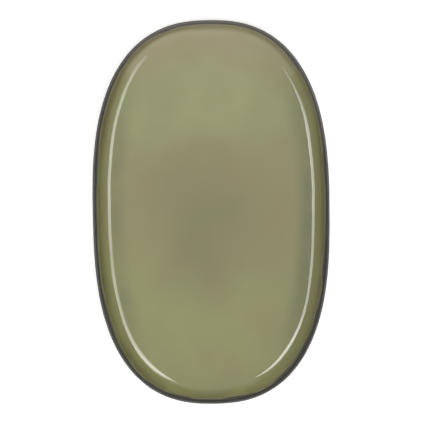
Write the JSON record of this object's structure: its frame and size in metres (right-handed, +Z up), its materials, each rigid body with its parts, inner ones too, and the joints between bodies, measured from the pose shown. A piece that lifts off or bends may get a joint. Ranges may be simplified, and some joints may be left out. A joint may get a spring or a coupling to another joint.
{
  "type": "oval serving platter",
  "caption": "Oval stoneware serving platter with a low curved wall, a glazed flat well, a bare dark lip and a foot ring to stand on.",
  "frame": {"origin": "on the resting plane of the foot ring, below the middle of the platter", "axes": "+Z up out of the well, +Y along the length, +X across the width"},
  "size_m": [0.218, 0.355, 0.025],
  "materials": {
    "bare_stoneware": "dark charcoal stoneware, fired bare and wiped, matt and slightly gritty",
    "face_glaze": "olive reactive glaze, glossy, softly mottled, thinner and browner at its edge",
    "back_glaze": "the same olive glaze in a thinner coat"
  },
  "bodies": {
    "root": {"stoneware_body": "bare_stoneware", "face_glaze": "face_glaze", "outer_wall_glaze": "back_glaze", "base_glaze": "back_glaze"}
  },
  "joints": []
}
